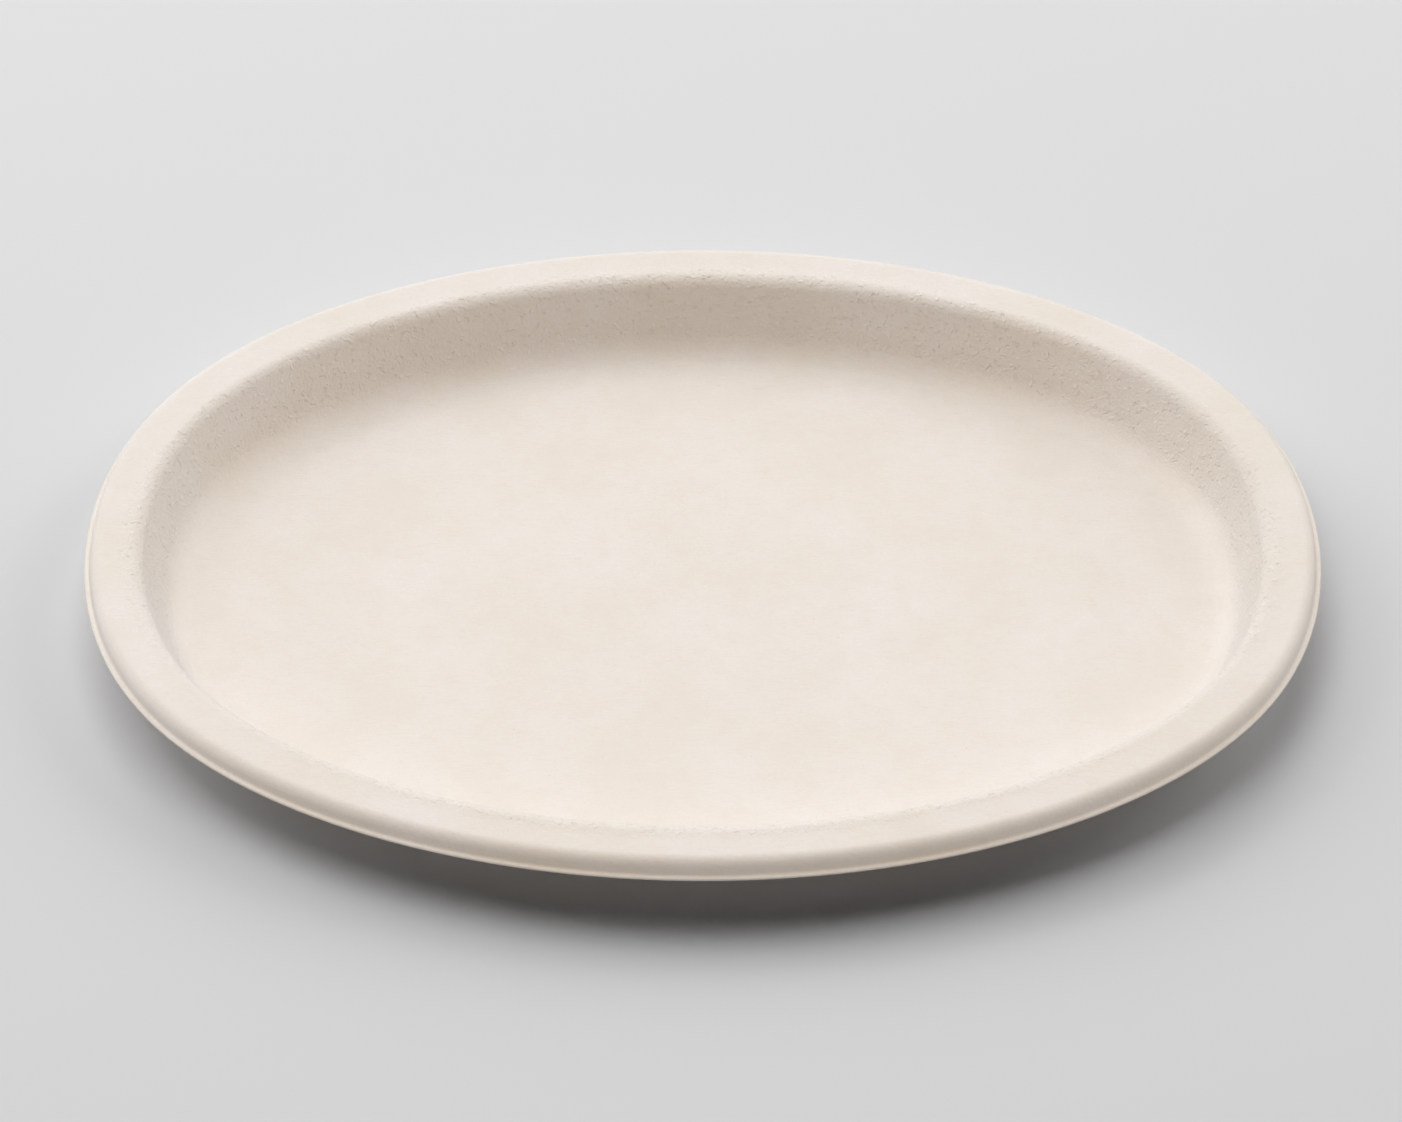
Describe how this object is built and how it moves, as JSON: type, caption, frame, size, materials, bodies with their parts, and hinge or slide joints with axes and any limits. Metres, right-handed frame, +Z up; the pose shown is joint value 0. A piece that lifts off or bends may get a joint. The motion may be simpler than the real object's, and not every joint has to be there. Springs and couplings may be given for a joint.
{
  "type": "oval plate",
  "caption": "Oval plate pressed in one piece from bagasse pulp, with a flat floor, a steep wall, a level rim and a turned down edge with a narrow lip.",
  "frame": {"origin": "centre of the flat underside, where the plate stands on the table", "axes": "+X along the plate's length, +Y along its width, +Z up"},
  "size_m": [0.26, 0.183, 0.017],
  "materials": {
    "pulp": "matte"
  },
  "bodies": {
    "root": {"plate": "pulp"}
  },
  "joints": []
}
